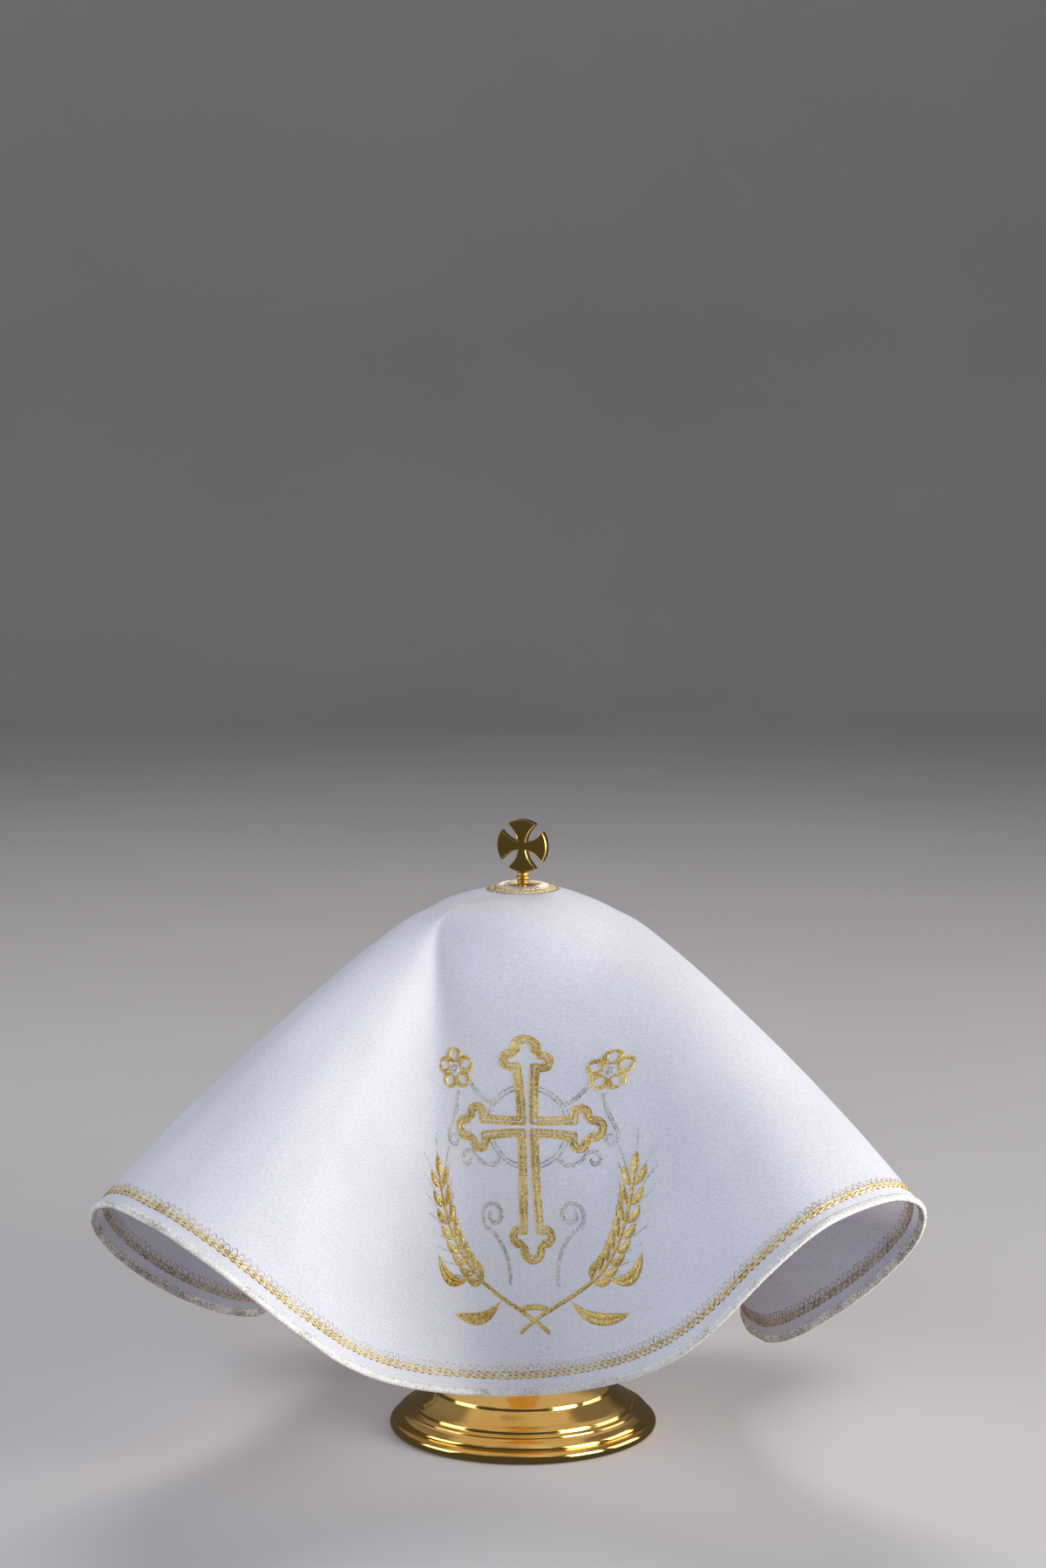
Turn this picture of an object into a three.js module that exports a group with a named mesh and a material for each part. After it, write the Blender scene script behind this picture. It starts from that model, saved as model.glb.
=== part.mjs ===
// A round ciborium veil draped over the lidded cup that carries it.
// Millimetres, +Z up. The origin is on the table under the middle of the foot;
// the front of the veil faces -Y and +X is to the right of it.
import * as THREE from 'three';

// ---- cloth ------------------------------------------------------------------
const CLOTH_RADIUS = 250;      // flat radius of the round cloth
const HOLE_RADIUS = 8.3;       // flat radius of the middle hole
const CLOTH_THICK = 1.4;       // cloth with its turned and sewn edge
const BREAK_RADIUS = 43;       // where the cloth breaks over the lid
const BREAK_HEIGHT = 238.0;    // height of the outer face at that circle
const LID_SLOPE = 15;          // fall of the cloth on the lid, degrees
const TURN_START = 10;         // the cloth starts to swing to its fold here ...
const TURN_LENGTH = 22;        // ... and has swung after this length
const FLAT_STEPS = 96;         // facets round the cloth
const LID_STEPS = 7;           // facets from the hole to past the lid's edge
const HANG_STEPS = 9;          // facets from there to the hem
const HANG_START = 66;         // path length where the hanging part starts

// One row for each section of the folds, going round to the right from the
// left valley. Angles in degrees from the front: flat = place on the flat cloth,
// rim = where that line leaves the lid, lean = the way it then hangs,
// drop = its fall below level; bow = rise of the line above its chord, mm;
// round = half length of the bend over the lid, mm.
const FOLDS = [
  { flat: -102, rim: -110.9, lean: -83.7, drop: 66.5, bow: 0.0, round: 15.1 },  // left valley
  { flat: -80, rim: -92.6, lean: -66.9, drop: 47.3, bow: 7.7, round: 13.0 },
  { flat: -58, rim: -80.0, lean: -45.8, drop: 30.7, bow: 5.6, round: 14.0 },    // front left ridge
  { flat: -36, rim: -60.9, lean: -25.9, drop: 44.7, bow: 5.6, round: 11.0 },
  { flat: -14, rim: -53.0, lean: -9.1, drop: 67.7, bow: 1.1, round: 11.0 },
  { flat: 0, rim: -35.4, lean: 16.3, drop: 72.7, bow: 6.8, round: 13.0 },       // front valley
  { flat: 12, rim: -13.7, lean: 27.8, drop: 62.1, bow: 3.8, round: 16.0 },
  { flat: 24, rim: 20.4, lean: 23.7, drop: 47.6, bow: 0.0, round: 20.4 },
  { flat: 36, rim: 55.5, lean: 25.8, drop: 31.0, bow: 0.0, round: 19.2 },
  { flat: 47, rim: 77.5, lean: 38.7, drop: 28.0, bow: 4.2, round: 18.7 },       // front right ridge
  { flat: 58, rim: 89.5, lean: 49.0, drop: 38.0, bow: 8.8, round: 19.0 },
  { flat: 80, rim: 97.7, lean: 56.8, drop: 66.2, bow: 4.3, round: 20.9 },
  { flat: 98, rim: 108.9, lean: 108.8, drop: 71.7, bow: 5.1, round: 24.3 },     // right valley
  { flat: 118, rim: 124.0, lean: 129.6, drop: 52.4, bow: 2.0, round: 25.8 },
  { flat: 138, rim: 142.6, lean: 147.6, drop: 39.3, bow: 2.0, round: 21.8 },    // back right ridge
  { flat: 158, rim: 157.6, lean: 163.5, drop: 54.6, bow: 4.2, round: 19.7 },
  { flat: 176, rim: 177.9, lean: 185.8, drop: 62.7, bow: 1.1, round: 20.1 },    // back valley
  { flat: 196, rim: 195.9, lean: 196.2, drop: 42.6, bow: 4.6, round: 20.0 },
  { flat: 216, rim: 215.9, lean: 216.3, drop: 39.6, bow: 4.6, round: 20.3 },    // back left ridge
  { flat: 238, rim: 235.4, lean: 225.7, drop: 62.9, bow: 2.5, round: 20.6 },
];

// ---- the vessel -------------------------------------------------------------
const GAP = 0.3;               // between pieces that stand on each other
const FOOT_RADIUS = 60;
const BEAD_HEIGHT = 5.2;       // half-round rim of the foot
const FOOT_TOP = 24.9;
const STEM_TOP = 142.5;
const CUP_RADIUS = 38;
const CUP_BELLY = 188.5;        // height of the widest part of the bowl
const CUP_DEPTH = 49.7;        // half height of the bowl's ellipse
const CUP_TOP = 224.5;
const CUP_WALL = 1.5;
const CUP_SEAT = 15;           // radius of the stem's seat under the bowl
const LID_WALL = 1.5;
const LID_TOP = 245.2;
const NECK_BOTTOM = LID_TOP + GAP;
const CROSS_HEIGHT = 264.6;    // height of the middle of the cross
const CROSS_RADIUS = 11.8;
const CROSS_THICK = 3.6;
const CROSS_TURN = -23;        // turned a little to the left, degrees
const CROSS_WAIST = 2.0;       // inner corner of the arms
const CROSS_FLARE = 34;        // half angle of an arm's end

// Ring sections of the foot, stem, lid and neck: r = radius, z = height.
const FOOT_RINGS = [
  { r: 58.2, z: 5.4 }, { r: 57.6, z: 5.9 }, { r: 54.6, z: 8.4 }, { r: 50.6, z: 10.3 },
  { r: 49.6, z: 10.5 }, { r: 49.2, z: 11.9 }, { r: 46.4, z: 13.2 }, { r: 42.0, z: 17.0 },
  { r: 40.6, z: 18.2 }, { r: 40.2, z: 19.7 }, { r: 36.0, z: 21.0 }, { r: 31.0, z: 22.4 },
  { r: 27.0, z: 23.6 }, { r: 24.4, z: 24.9 },
];
const STEM_RINGS = [
  { r: 23.4, z: 25.2 }, { r: 22.2, z: 26.6 }, { r: 19.0, z: 29.8 }, { r: 16.5, z: 33.6 },
  { r: 14.4, z: 38.5 }, { r: 12.6, z: 44.2 }, { r: 10.3, z: 56.0 }, { r: 8.8, z: 66.0 },
  { r: 8.0, z: 82.0 }, { r: 8.0, z: 114.5 }, { r: 9.2, z: 128.5 }, { r: 11.8, z: 137.5 },
  { r: 15.0, z: 142.5 },
];
const LID_RINGS = [
  { r: 9.0, z: 245.2 }, { r: 14.0, z: 243.7 }, { r: 18.0, z: 242.6 }, { r: 22.0, z: 241.3 },
  { r: 26.0, z: 239.4 }, { r: 30.0, z: 237.1 }, { r: 33.5, z: 234.4 }, { r: 36.5, z: 231.4 },
  { r: 38.6, z: 228.7 }, { r: 39.5, z: 226.7 }, { r: 39.5, z: 224.8 },
];
const NECK_RINGS = [
  { r: 3.4, z: 245.5 }, { r: 3.3, z: 245.9 }, { r: 1.9, z: 246.4 }, { r: 1.7, z: 247.2 },
  { r: 2.3, z: 247.6 }, { r: 2.7, z: 248.3 }, { r: 2.2, z: 249.1 }, { r: 2.5, z: 249.5 },
  { r: 2.85, z: 250.4 }, { r: 2.3, z: 251.3 }, { r: 2.1, z: 251.6 }, { r: 2.5, z: 251.9 },
  { r: 2.45, z: 252.5 },
];

const RAD = Math.PI / 180;

// Closed cubic spline through the rows of a table, round one turn.
function closedSpline(at, value, turn) {
  const n = at.length;
  const step = at.map((a, i) => (i + 1 < n ? at[i + 1] : at[0] + turn) - a);
  const rows = at.map((_, i) => {
    const row = new Array(n + 1).fill(0);
    const before = (i + n - 1) % n, after = (i + 1) % n;
    row[before] += step[before];
    row[i] += 2 * (step[before] + step[i]);
    row[after] += step[i];
    row[n] = 6 * ((value[after] - value[i]) / step[i] - (value[i] - value[before]) / step[before]);
    return row;
  });
  for (let c = 0; c < n; c++) {
    for (let r = c + 1; r < n; r++) {
      const k = rows[r][c] / rows[c][c];
      if (k !== 0) for (let j = c; j <= n; j++) rows[r][j] -= k * rows[c][j];
    }
  }
  const bend = new Array(n).fill(0);
  for (let r = n - 1; r >= 0; r--) {
    let sum = rows[r][n];
    for (let j = r + 1; j < n; j++) sum -= rows[r][j] * bend[j];
    bend[r] = sum / rows[r][r];
  }
  return (x) => {
    let t = (((x - at[0]) % turn) + turn) % turn + at[0];
    let i = n - 1;
    while (i > 0 && t < at[i]) i--;
    const h = step[i], a = (at[i] + h - t) / h, b = (t - at[i]) / h, k = (i + 1) % n;
    return a * value[i] + b * value[k] + ((a ** 3 - a) * bend[i] + (b ** 3 - b) * bend[k]) * h * h / 6;
  };
}

const flats = FOLDS.map((f) => f.flat);
const column = (pick) => closedSpline(flats, FOLDS.map(pick), 360);
const rimSwing = column((f) => f.rim - f.flat);
const leanSwing = column((f) => f.lean - f.flat);
const dropAt = column((f) => f.drop);
const bowAt = column((f) => f.bow);
const roundAt = column((f) => f.round);

// Point of the cloth's outer face: path = distance from the middle along the
// cloth, flat = angle on the flat cloth in degrees.
function veilPoint(path, flat) {
  const breakPath = BREAK_RADIUS / Math.cos(LID_SLOPE * RAD);
  const lean = (flat + leanSwing(flat)) * RAD;
  const drop = dropAt(flat) * RAD, bow = bowAt(flat), round = roundAt(flat);
  const past = path - breakPath;
  const hang = past <= -round ? 0 : past >= round ? past : (past + round) ** 2 / (4 * round);
  const left = hang - past;
  const turn = Math.min(Math.max((path - TURN_START) / TURN_LENGTH, 0), 1);
  const swing = rimSwing(flat) * turn * turn * (3 - 2 * turn);
  const rim = (flat + swing) * RAD;
  const r = BREAK_RADIUS - left * Math.cos(LID_SLOPE * RAD);
  const t = Math.min(Math.max(past / (CLOTH_RADIUS - breakPath), 0), 1);
  const lift = bow * 4 * t * (1 - t);
  const out = hang * Math.cos(drop) + lift * Math.sin(drop);
  return new THREE.Vector3(
    r * Math.sin(rim) + out * Math.sin(lean),
    -r * Math.cos(rim) - out * Math.cos(lean),
    BREAK_HEIGHT + left * Math.sin(LID_SLOPE * RAD) - hang * Math.sin(drop) + lift * Math.cos(drop),
  );
}

function veilNormal(path, flat) {
  const along = veilPoint(path + 0.5, flat).sub(veilPoint(path - 0.5, flat));
  const around = veilPoint(path, flat + 0.25).sub(veilPoint(path, flat - 0.25));
  return along.cross(around).normalize();
}

function veilGeometry() {
  const paths = [];
  for (let i = 0; i <= LID_STEPS; i++) paths.push(HOLE_RADIUS + (HANG_START - HOLE_RADIUS) * i / LID_STEPS);
  for (let i = 1; i <= HANG_STEPS; i++) paths.push(HANG_START + (CLOTH_RADIUS - HANG_START) * i / HANG_STEPS);
  const rows = paths.length, position = [], index = [];
  const id = (face, i, j) => (face * rows + i) * FLAT_STEPS + (j % FLAT_STEPS);
  for (let face = 0; face < 2; face++) {
    for (let i = 0; i < rows; i++) {
      for (let j = 0; j < FLAT_STEPS; j++) {
        const flat = -180 + 360 * j / FLAT_STEPS;
        const p = veilPoint(paths[i], flat);
        if (face === 1) p.addScaledVector(veilNormal(paths[i], flat), -CLOTH_THICK);
        position.push(p.x, p.y, p.z);
      }
    }
  }
  for (let j = 0; j < FLAT_STEPS; j++) {
    for (let i = 0; i + 1 < rows; i++) {
      index.push(id(0, i, j), id(0, i + 1, j), id(0, i + 1, j + 1), id(0, i, j), id(0, i + 1, j + 1), id(0, i, j + 1));
      index.push(id(1, i, j), id(1, i + 1, j + 1), id(1, i + 1, j), id(1, i, j), id(1, i, j + 1), id(1, i + 1, j + 1));
    }
    const e = rows - 1;
    index.push(id(0, e, j), id(1, e, j), id(1, e, j + 1), id(0, e, j), id(1, e, j + 1), id(0, e, j + 1));
    index.push(id(0, 0, j), id(1, 0, j + 1), id(1, 0, j), id(0, 0, j), id(0, 0, j + 1), id(1, 0, j + 1));
  }
  const geometry = new THREE.BufferGeometry();
  geometry.setAttribute('position', new THREE.Float32BufferAttribute(position, 3));
  geometry.setIndex(index);
  geometry.computeVertexNormals();
  return geometry;
}

// Turned solid about the vertical axis; the profile runs upwards on its outside.
function turned(profile, sides) {
  const geometry = new THREE.LatheGeometry(profile.map((p) => new THREE.Vector2(p.r, p.z)), sides);
  geometry.rotateX(Math.PI / 2);   // the lathe turns about Y; stand it up
  return geometry;
}

function footProfile() {
  const profile = [{ r: 0, z: 0 }, { r: FOOT_RADIUS - BEAD_HEIGHT / 2, z: 0 }];
  for (let i = 1; i < 6; i++) {
    const a = (-90 + 30 * i) * RAD;
    profile.push({ r: FOOT_RADIUS - BEAD_HEIGHT / 2 * (1 - Math.cos(a)), z: BEAD_HEIGHT / 2 * (1 + Math.sin(a)) });
  }
  return [...profile, ...FOOT_RINGS, { r: 0, z: FOOT_TOP }];
}

function stemProfile() {
  return [{ r: 0, z: FOOT_TOP + GAP }, ...STEM_RINGS, { r: 0, z: STEM_TOP }];
}

function cupProfile() {
  const floor = STEM_TOP + GAP, inside = floor + 1.7, steps = 7;
  const outer = [], inner = [];
  const bowl = (radius, depth, from) => {
    const start = Math.acos((CUP_BELLY - from) / depth), out = [];
    for (let i = 0; i <= steps; i++) {
      const a = start + (Math.PI / 2 - start) * i / steps;
      out.push({ r: radius * Math.sin(a), z: CUP_BELLY - depth * Math.cos(a) });
    }
    return out;
  };
  outer.push({ r: 0, z: floor }, ...bowl(CUP_RADIUS, CUP_DEPTH, floor), { r: CUP_RADIUS + 0.3, z: CUP_TOP });
  inner.push({ r: 0, z: inside }, ...bowl(CUP_RADIUS - CUP_WALL, CUP_DEPTH - CUP_WALL, inside), { r: CUP_RADIUS + 0.3 - CUP_WALL, z: CUP_TOP });
  return [...outer, ...inner.reverse()];
}

function lidProfile() {
  const outer = [...LID_RINGS].reverse();
  const inner = LID_RINGS.map((p) => ({
    r: Math.max(p.r - LID_WALL, 0),
    z: p.z > CUP_TOP + GAP + 0.1 ? p.z - LID_WALL : CUP_TOP + GAP,
  }));
  return [...inner.slice().reverse().map((p) => p), { r: 0, z: LID_TOP - LID_WALL }].reverse()
    .concat(outer, [{ r: 0, z: LID_TOP }]);
}

function neckProfile() {
  return [{ r: 0, z: NECK_BOTTOM }, ...NECK_RINGS, { r: 0, z: NECK_RINGS[NECK_RINGS.length - 1].z }];
}

function crossGeometry() {
  const shape = new THREE.Shape();
  const turnBy = (x, y, a) => [x * Math.cos(a) - y * Math.sin(a), x * Math.sin(a) + y * Math.cos(a)];
  for (let arm = 0; arm < 4; arm++) {
    const a = -arm * Math.PI / 2;
    const end = CROSS_FLARE * RAD;
    const left = turnBy(-CROSS_RADIUS * Math.sin(end), CROSS_RADIUS * Math.cos(end), a);
    const right = turnBy(CROSS_RADIUS * Math.sin(end), CROSS_RADIUS * Math.cos(end), a);
    const foot = turnBy(-CROSS_WAIST, CROSS_WAIST, a);
    const next = turnBy(CROSS_WAIST, CROSS_WAIST, a);
    const bendL = turnBy(-CROSS_WAIST * 1.15, CROSS_RADIUS * 0.5, a);
    const bendR = turnBy(CROSS_WAIST * 1.15, CROSS_RADIUS * 0.5, a);
    if (arm === 0) shape.moveTo(...foot);
    shape.quadraticCurveTo(...bendL, ...left);
    shape.absarc(0, 0, CROSS_RADIUS, Math.PI / 2 + end + a, Math.PI / 2 - end + a, true);
    shape.quadraticCurveTo(...bendR, ...next);
  }
  const geometry = new THREE.ExtrudeGeometry(shape, { depth: CROSS_THICK, bevelEnabled: false, curveSegments: 6 });
  geometry.translate(0, 0, -CROSS_THICK / 2);
  geometry.rotateX(Math.PI / 2);   // stand the plate up, facing the front
  return geometry;
}

const cloth = new THREE.MeshStandardMaterial({ name: 'white_cloth', color: 0xe9e8f1, roughness: 0.8, metalness: 0 });
const brass = () => new THREE.MeshStandardMaterial({ name: 'gilt_brass', color: 0xd6a552, roughness: 0.18, metalness: 1 });

function piece(name, geometry, material) {
  const mesh = new THREE.Mesh(geometry, material);
  mesh.name = name;
  return mesh;
}

const vessel = new THREE.Group();
vessel.add(piece('ciborium_foot', turned(footProfile(), 40), brass()));
vessel.add(piece('ciborium_stem', turned(stemProfile(), 24), brass()));
vessel.add(piece('ciborium_cup', turned(cupProfile(), 32), brass()));
vessel.add(piece('ciborium_lid', turned(lidProfile(), 32), brass()));
vessel.add(piece('ciborium_neck', turned(neckProfile(), 14), brass()));
const cross = piece('ciborium_cross', crossGeometry(), brass());
cross.position.set(0, 0, CROSS_HEIGHT);
cross.rotation.z = CROSS_TURN * RAD;
vessel.add(cross);

const part = new THREE.Group();
part.add(piece('veil', veilGeometry(), cloth));
part.add(vessel);

export default part;
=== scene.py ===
"""Ciborium veil on its ciborium: the looks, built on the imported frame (Blender 4.5)."""
import math

import bmesh
import bpy
import numpy as np
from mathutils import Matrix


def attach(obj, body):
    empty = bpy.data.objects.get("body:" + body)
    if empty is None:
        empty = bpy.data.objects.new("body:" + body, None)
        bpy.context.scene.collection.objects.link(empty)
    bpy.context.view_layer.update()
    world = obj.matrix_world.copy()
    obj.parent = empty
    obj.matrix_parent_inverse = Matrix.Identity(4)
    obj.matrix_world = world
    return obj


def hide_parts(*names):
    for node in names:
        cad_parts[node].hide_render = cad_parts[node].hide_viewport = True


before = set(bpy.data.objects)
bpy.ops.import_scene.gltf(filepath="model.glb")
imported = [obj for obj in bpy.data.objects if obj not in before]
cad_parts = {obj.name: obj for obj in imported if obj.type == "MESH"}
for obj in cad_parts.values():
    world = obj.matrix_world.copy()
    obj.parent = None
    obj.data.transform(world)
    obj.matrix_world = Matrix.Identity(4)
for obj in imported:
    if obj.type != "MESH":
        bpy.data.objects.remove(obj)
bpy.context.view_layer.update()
MM = 0.001

# ---------------------------------------------------------------- camera
# 85 mm lens on a 36 mm long side, 1.62 m in front, 7.5 degrees down.
camera = bpy.data.objects.new("camera", bpy.data.cameras.new("camera"))
camera.data.sensor_fit = "AUTO"
camera.data.sensor_width = 36.0
camera.data.lens = 84.99
camera.data.clip_start, camera.data.clip_end = 0.01, 50.0
camera.location = (0.0, -1.6212, 0.5055)
camera.rotation_euler = (math.radians(82.5), 0.0, 0.0)
bpy.context.scene.collection.objects.link(camera)
bpy.context.scene.camera = camera

# ---------------------------------------------------------------- sizes, mm
CLOTH_RADIUS = 250.0
CLOTH_THICK = 1.0
HOLE_RADIUS = 8.3
BREAK_RADIUS = 43.0      # where the cloth turns down over the lid
BREAK_HEIGHT = 238.0
LID_SLOPE = math.radians(15.0)
TURN_START, TURN_LENGTH = 10.0, 22.0

# One row for each main line of the drape.  flat, rim and lean are degrees from
# the front, drop is degrees below level, bow and round are millimetres.
FOLD_COLUMNS = ("flat", "rim", "lean", "drop", "bow", "round")
FOLDS = np.array([
    (-102, -110.9, -83.7, 66.5, 0.0, 15.1),
    (-80, -92.6, -66.9, 47.3, 7.7, 13.0),
    (-58, -80.0, -45.8, 30.7, 5.6, 14.0),
    (-36, -60.9, -25.9, 44.7, 5.6, 11.0),
    (-14, -53.0, -9.1, 67.7, 1.1, 11.0),
    (0, -35.4, 16.3, 72.7, 6.8, 13.0),
    (12, -13.7, 27.8, 62.1, 3.8, 16.0),
    (24, 20.4, 23.7, 47.6, 0.0, 20.4),
    (36, 55.5, 25.8, 31.0, 0.0, 19.2),
    (47, 77.5, 38.7, 28.0, 4.2, 18.7),
    (58, 89.5, 49.0, 38.0, 8.8, 19.0),
    (80, 97.7, 56.8, 66.2, 4.3, 20.9),
    (98, 108.9, 108.8, 71.7, 5.1, 24.3),
    (118, 124.0, 129.6, 52.4, 2.0, 25.8),
    (138, 142.6, 147.6, 39.3, 2.0, 21.8),
    (158, 157.6, 163.5, 54.6, 4.2, 19.7),
    (176, 177.9, 185.8, 62.7, 1.1, 20.1),
    (196, 195.9, 196.2, 42.6, 4.6, 20.0),
    (216, 215.9, 216.3, 39.6, 4.6, 20.3),
    (238, 235.4, 225.7, 62.9, 2.5, 20.6),
])

# Soft troughs (-) and ridges (+) on the folds: flat angle and path at each end,
# half width and height in millimetres.
CREASE_COLUMNS = ("flat_from", "path_from", "flat_to", "path_to", "half_width", "height")
CREASES = np.array([
    (150.0, 70.0, 147.0, 205.0, 11.0, -0.7),
    (205.0, 80.0, 207.0, 190.0, 10.0, -0.6),
    (-69.0, 90.0, -66.0, 200.0, 12.0, -0.6),
    (47.0, 95.0, 46.0, 215.0, 12.0, -0.6),
    (-57.0, 33.0, -54.0, 190.0, 14.0, 1.4),
    (5.0, 58.0, 5.0, 245.0, 23.0, -0.8),
    (16.0, 30.0, 22.0, 122.0, 16.0, -1.3),
    (42.0, 48.0, 40.0, 241.0, 18.0, 1.2),
    (7.0, 18.0, 23.0, 95.0, 16.0, -1.8),
    (16.0, 38.0, 8.0, 156.0, 25.0, -1.0),
])


def closed_spline(at, value, turn=360.0):
    """Closed cubic spline through the rows of a table, round one turn."""
    n = len(at)
    step = np.diff(np.append(at, at[0] + turn))
    rows, rhs = np.zeros((n, n)), np.zeros(n)
    for i in range(n):
        before, after = (i - 1) % n, (i + 1) % n
        rows[i, before] += step[before]
        rows[i, i] += 2 * (step[before] + step[i])
        rows[i, after] += step[i]
        rhs[i] = 6 * ((value[after] - value[i]) / step[i] - (value[i] - value[before]) / step[before])
    bend = np.linalg.solve(rows, rhs)

    def at_x(x):
        t = np.mod(np.asarray(x, float) - at[0], turn) + at[0]
        i = np.clip(np.searchsorted(at, t, side="right") - 1, 0, n - 1)
        h, k = step[i], (i + 1) % n
        a, b = (at[i] + h - t) / h, (t - at[i]) / h
        return a * value[i] + b * value[k] + ((a ** 3 - a) * bend[i] + (b ** 3 - b) * bend[k]) * h * h / 6
    return at_x


rim_swing = closed_spline(FOLDS[:, 0], FOLDS[:, 1] - FOLDS[:, 0])
lean_swing = closed_spline(FOLDS[:, 0], FOLDS[:, 2] - FOLDS[:, 0])
drop_at = closed_spline(FOLDS[:, 0], FOLDS[:, 3])
bow_at = closed_spline(FOLDS[:, 0], FOLDS[:, 4])
round_at = closed_spline(FOLDS[:, 0], FOLDS[:, 5])


def smooth01(x):
    x = np.clip(x, 0.0, 1.0)
    return x * x * (3 - 2 * x)


def fold_point(path, flat):
    """Outer face of the cloth on its main folds, mm: path from the middle, flat angle in degrees."""
    path, flat = np.broadcast_arrays(np.asarray(path, float), np.asarray(flat, float))
    break_path = BREAK_RADIUS / math.cos(LID_SLOPE)
    lean = np.radians(flat + lean_swing(flat))
    drop, bow, bend = np.radians(drop_at(flat)), bow_at(flat), round_at(flat)
    past = path - break_path
    hang = np.where(past <= -bend, 0.0, np.where(past >= bend, past, (past + bend) ** 2 / (4 * bend)))
    left = hang - past
    rim = np.radians(flat + rim_swing(flat) * smooth01((path - TURN_START) / TURN_LENGTH))
    r = BREAK_RADIUS - left * math.cos(LID_SLOPE)
    t = np.clip(past / (CLOTH_RADIUS - break_path), 0.0, 1.0)
    lift = bow * 4 * t * (1 - t)
    out = hang * np.cos(drop) + lift * np.sin(drop)
    return np.stack([
        r * np.sin(rim) + out * np.sin(lean),
        -r * np.cos(rim) - out * np.cos(lean),
        BREAK_HEIGHT + left * math.sin(LID_SLOPE) - hang * np.sin(drop) + lift * np.cos(drop),
    ], -1)


def across(function, path, flat):
    along = function(path + 0.5, flat) - function(path - 0.5, flat)
    around = function(path, flat + 0.25) - function(path, flat - 0.25)
    n = np.cross(along, around)
    return n / np.linalg.norm(n, axis=-1, keepdims=True)


def crease_height(path, flat):
    """Height of the small creases and of the cloth's slight unevenness, mm."""
    path, flat = np.broadcast_arrays(np.asarray(path, float), np.asarray(flat, float))
    total = np.zeros(path.shape)
    for f0, p0, f1, p1, half, height in CREASES:
        t = (path - p0) / (p1 - p0)
        middle = f0 + (f1 - f0) * np.clip(t, 0, 1)
        away = (np.mod(flat - middle + 180, 360) - 180) * math.pi / 180 * path
        ends = smooth01(t / 0.3) * smooth01((1 - t) / 0.3)
        total += height * np.exp(-(away / half) ** 2) * ends
    q = np.radians(flat)
    free = smooth01((path - 70) / 150)
    total += free * (0.28 * np.sin(23 * q + 0.7) + 0.2 * np.sin(37 * q + 2.1 + path / 40) + 0.16 * np.sin(53 * q + 4.0))
    return total


def cloth_point(path, flat):
    path, flat = np.broadcast_arrays(np.asarray(path, float), np.asarray(flat, float))
    return fold_point(path, flat) + across(fold_point, path, flat) * crease_height(path, flat)[..., None]


def on_cloth(path, flat, lift=0.0, side=1):
    """Point lifted off the cloth's outer (side 1) or inner (side -1) face."""
    path, flat = np.broadcast_arrays(np.asarray(path, float), np.asarray(flat, float))
    lift = np.broadcast_to(np.asarray(lift, float), path.shape)
    height = lift if side > 0 else -CLOTH_THICK - lift
    return cloth_point(path, flat) + across(cloth_point, path, flat) * height[..., None]


def even_flats(path, pitch):
    """Flat angles that stand about a pitch apart along the folded cloth, and their count."""
    dense = np.linspace(-180, 180, 3601)
    line = cloth_point(np.full(dense.shape, float(path)), dense)
    along = np.concatenate([[0], np.cumsum(np.linalg.norm(np.diff(line, axis=0), axis=1))])
    count = int(round(along[-1] / pitch))
    return np.interp(along[-1] * np.arange(count + 1) / count, along, dense)


# ---------------------------------------------------------------- materials
class Nodes:
    """A short way to write a material's nodes."""

    def __init__(self, name):
        self.material = bpy.data.materials.new(name)
        self.material.use_nodes = True
        self.tree = self.material.node_tree
        self.shader = self.tree.nodes["Principled BSDF"]

    def add(self, kind, **sockets):
        node = self.tree.nodes.new(kind)
        for key, value in sockets.items():
            name = key.replace("_", " ")
            if name in node.inputs:
                self.put(node.inputs[name], value)
            else:
                setattr(node, key, value)
        return node

    def put(self, socket, value):
        if isinstance(value, bpy.types.NodeSocket):
            self.tree.links.new(value, socket)
        else:
            socket.default_value = value

    def ramp(self, factor, *stops):
        node = self.add("ShaderNodeValToRGB", Fac=factor)
        ramp = node.color_ramp
        while len(ramp.elements) < len(stops):
            ramp.elements.new(0.5)
        for element, (place, colour) in zip(ramp.elements, stops):
            element.position = place
            element.color = (*colour, 1.0)
        return node.outputs["Color"]

    def span(self, value, low, high, to_low, to_high):
        node = self.add("ShaderNodeMapRange", Value=value)
        node.inputs["From Min"].default_value = low
        node.inputs["From Max"].default_value = high
        node.inputs["To Min"].default_value = to_low
        node.inputs["To Max"].default_value = to_high
        return node.outputs["Result"]

    def scaled(self, vector, sizes):
        node = self.add("ShaderNodeMapping", Vector=vector)
        node.inputs["Scale"].default_value = sizes
        return node.outputs["Vector"]

    def sums(self, a, b, how="ADD"):
        node = self.add("ShaderNodeMath")
        node.operation = how
        self.put(node.inputs[0], a)
        self.put(node.inputs[1], b)
        return node.outputs[0]

    def bump(self, height, strength, distance, normal=None):
        node = self.add("ShaderNodeBump", Height=height, Strength=strength, Distance=distance)
        if normal is not None:
            self.put(node.inputs["Normal"], normal)
        return node.outputs["Normal"]

    def set(self, **sockets):
        for key, value in sockets.items():
            self.put(self.shader.inputs[key.replace("_", " ")], value)
        return self.material


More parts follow.
